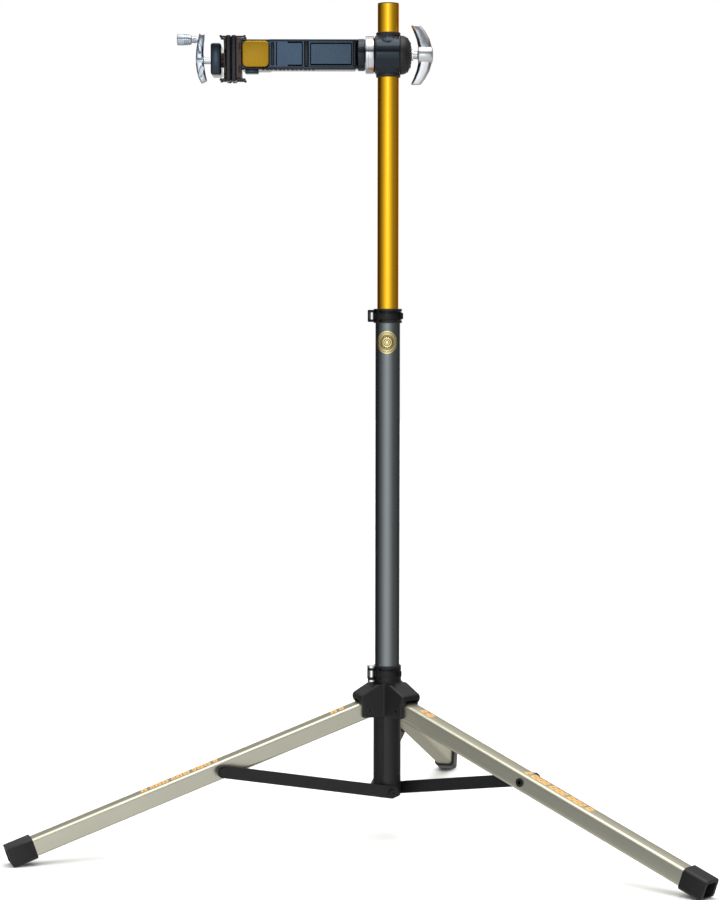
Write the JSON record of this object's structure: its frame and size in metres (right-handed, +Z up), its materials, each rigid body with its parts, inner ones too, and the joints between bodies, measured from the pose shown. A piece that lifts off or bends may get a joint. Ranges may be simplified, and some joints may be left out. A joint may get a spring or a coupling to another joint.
{
  "type": "bicycle repair stand",
  "caption": "Folding workshop stand: telescoping mast on a three-legged base, with a turning clamp arm whose jaws hold a bicycle by its seat post.",
  "frame": {"origin": "on the mast's axis at floor level, between the feet", "axes": "+Z up along the mast; the clamp arm points along -X and its turning axis is parallel to X; -Y is the front, where the quick-release levers lie"},
  "size_m": [1.0329, 0.998, 1.29],
  "materials": {
    "gunmetal_tube": "satin anodised",
    "gold_tube": "satin anodised",
    "champagne_tube": "satin anodised",
    "black_casting": "satin powder coat",
    "black_plastic": "moulded, fine grain",
    "black_steel": "black oxide",
    "polished_alloy": "polished",
    "bright_steel": "plated",
    "pad_rubber": "moulded",
    "jaw_plate": "dark bronze anodised",
    "gold_button": "gloss",
    "white_acetal": "smooth",
    "brass": "machined"
  },
  "bodies": {
    "mast": {"mast_tube": "gunmetal_tube", "base_plug": "black_plastic", "base_bolts": "black_steel", "collar_bush": "black_plastic", "upper_collar": "black_casting", "upper_qr_barrel": "bright_steel", "upper_qr_skewer": "bright_steel"},
    "upper_lever": {"upper_qr_lever": "black_casting"},
    "upper_nut": {"upper_qr_nut": "bright_steel"},
    "glide": {"glide_bush": "white_acetal"},
    "upper_mast": {"upper_tube": "gold_tube", "tube_cap": "black_plastic", "head_bushes": "black_plastic", "head_body": "black_casting", "dome_cap": "black_plastic", "thrust_washer": "bright_steel"},
    "knob": {"wing_knob": "polished_alloy"},
    "clamp": {"clamp_arm": "black_casting", "brake_ring": "polished_alloy", "draw_bolt": "bright_steel", "inner_jaw_plate": "jaw_plate", "inner_jaw_pad": "pad_rubber", "inner_pad_clips": "black_plastic", "button_spring": "bright_steel"},
    "button": {"release_button": "gold_button"},
    "carrier": {"slide_bar": "polished_alloy", "bar_stop": "black_steel", "outer_housing": "black_casting", "feed_nut": "brass"},
    "outer_jaw": {"outer_jaw_plate": "jaw_plate", "outer_jaw_pad": "pad_rubber", "outer_pad_clips": "black_plastic"},
    "crank": {"feed_screw": "bright_steel", "crank_arm": "polished_alloy"},
    "handle": {"crank_knob": "polished_alloy"},
    "hub": {"hub_casting": "black_casting", "guide_sleeve": "black_plastic", "hub_qr_barrel": "bright_steel", "hub_qr_skewer": "bright_steel", "leg_pivot_bolts": "black_steel", "leg_pivot_nuts": "black_steel"},
    "hub_lever": {"hub_qr_lever": "black_casting"},
    "hub_nut": {"hub_qr_nut": "bright_steel"},
    "left_leg": {"left_leg_tube": "champagne_tube", "left_foot_cap": "black_plastic", "left_leg_bushes": "black_plastic"},
    "left_link": {"left_brace": "black_steel", "left_brace_bolt": "black_steel"},
    "right_leg": {"right_leg_tube": "champagne_tube", "right_foot_cap": "black_plastic", "right_leg_bushes": "black_plastic"},
    "right_link": {"right_brace": "black_steel", "right_brace_bolt": "black_steel"},
    "rear_leg": {"rear_leg_tube": "champagne_tube", "rear_foot_cap": "black_plastic", "rear_leg_bushes": "black_plastic"},
    "rear_link": {"rear_brace": "black_steel", "rear_brace_bolt": "black_steel"}
  },
  "joints": [
    {"name": "tripod_fold", "type": "slide", "parent": "mast", "child": "hub", "axis": [0, 0, 1], "range_m": [0, 0.3884]},
    {"name": "left_leg_hinge", "type": "hinge", "parent": "hub", "child": "left_leg", "pos_m": [-0.03457, -0.0117, 0.20539], "axis": [0.3206, -0.9472, 0], "range_deg": [0, 68.2]},
    {"name": "left_brace_hinge", "type": "hinge", "parent": "mast", "child": "left_link", "pos_m": [0.00753, -0.02226, 0.076], "axis": [-0.3206, 0.9472, 0], "range_deg": [0, 69.62]},
    {"name": "right_leg_hinge", "type": "hinge", "parent": "hub", "child": "right_leg", "pos_m": [0.02742, -0.02409, 0.20539], "axis": [0.66, 0.7513, 0], "range_deg": [0, 68.2]},
    {"name": "right_brace_hinge", "type": "hinge", "parent": "mast", "child": "right_link", "pos_m": [0.01551, 0.01766, 0.076], "axis": [-0.66, -0.7513, 0], "range_deg": [0, 69.62]},
    {"name": "rear_leg_hinge", "type": "hinge", "parent": "hub", "child": "rear_leg", "pos_m": [0.00715, 0.03579, 0.20539], "axis": [-0.9806, 0.1959, 0], "range_deg": [0, 68.2]},
    {"name": "rear_brace_hinge", "type": "hinge", "parent": "mast", "child": "rear_link", "pos_m": [-0.02304, 0.0046, 0.076], "axis": [0.9806, -0.1959, 0], "range_deg": [0, 69.62]},
    {"name": "height_slide", "type": "slide", "parent": "mast", "child": "glide", "axis": [0, 0, 1], "range_m": [-0.3, 0.28]},
    {"name": "mast_swivel", "type": "hinge", "parent": "glide", "child": "upper_mast", "pos_m": [0, 0, 0.43], "axis": [0, 0, 1], "continuous": true},
    {"name": "upper_lever_open", "type": "hinge", "parent": "mast", "child": "upper_lever", "pos_m": [-0.0245, -0.0155, 0.813], "axis": [0, 0, -1], "range_deg": [0, 150]},
    {"name": "upper_nut_turn", "type": "hinge", "parent": "mast", "child": "upper_nut", "pos_m": [-0.0245, 0.012, 0.813], "axis": [0, 1, 0], "continuous": true},
    {"name": "hub_lever_open", "type": "hinge", "parent": "hub", "child": "hub_lever", "pos_m": [-0.0245, -0.0165, 0.2605], "axis": [0, 0, -1], "range_deg": [0, 150]},
    {"name": "hub_nut_turn", "type": "hinge", "parent": "hub", "child": "hub_nut", "pos_m": [-0.0245, 0.012, 0.2605], "axis": [0, 1, 0], "continuous": true},
    {"name": "clamp_turn", "type": "hinge", "parent": "upper_mast", "child": "clamp", "pos_m": [-0.03, 0, 1.2115], "axis": [1, 0, 0], "continuous": true},
    {"name": "knob_turn", "type": "hinge", "parent": "clamp", "child": "knob", "pos_m": [0.05, 0, 1.2115], "axis": [1, 0, 0], "continuous": true},
    {"name": "button_press", "type": "slide", "parent": "clamp", "child": "button", "axis": [0, 1, 0], "range_m": [0, 0.004], "stiffness_N_per_m": 1200, "springref_m": -0.003},
    {"name": "jaw_slide", "type": "slide", "parent": "clamp", "child": "carrier", "axis": [-1, 0, 0], "range_m": [0, 0.06]},
    {"name": "jaw_feed", "type": "slide", "parent": "carrier", "child": "outer_jaw", "axis": [1, 0, 0], "range_m": [-0.00402, 0]},
    {"name": "crank_turn", "type": "hinge", "parent": "outer_jaw", "child": "crank", "pos_m": [-0.27, 0, 1.2025], "axis": [1, 0, 0], "range_deg": [-360, 0]},
    {"name": "handle_spin", "type": "hinge", "parent": "crank", "child": "handle", "pos_m": [-0.3, 0, 1.2345], "axis": [1, 0, 0], "continuous": true}
  ],
  "couplings": [
    {"joint": "left_leg_hinge", "follows": "tripod_fold", "rad_per_m": 3.0557},
    {"joint": "left_brace_hinge", "follows": "tripod_fold", "rad_per_m": 3.1195},
    {"joint": "right_leg_hinge", "follows": "tripod_fold", "rad_per_m": 3.0557},
    {"joint": "right_brace_hinge", "follows": "tripod_fold", "rad_per_m": 3.1195},
    {"joint": "rear_leg_hinge", "follows": "tripod_fold", "rad_per_m": 3.0557},
    {"joint": "rear_brace_hinge", "follows": "tripod_fold", "rad_per_m": 3.1195},
    {"joint": "jaw_feed", "follows": "crank_turn", "m_per_rad": 0.0006366}
  ]
}
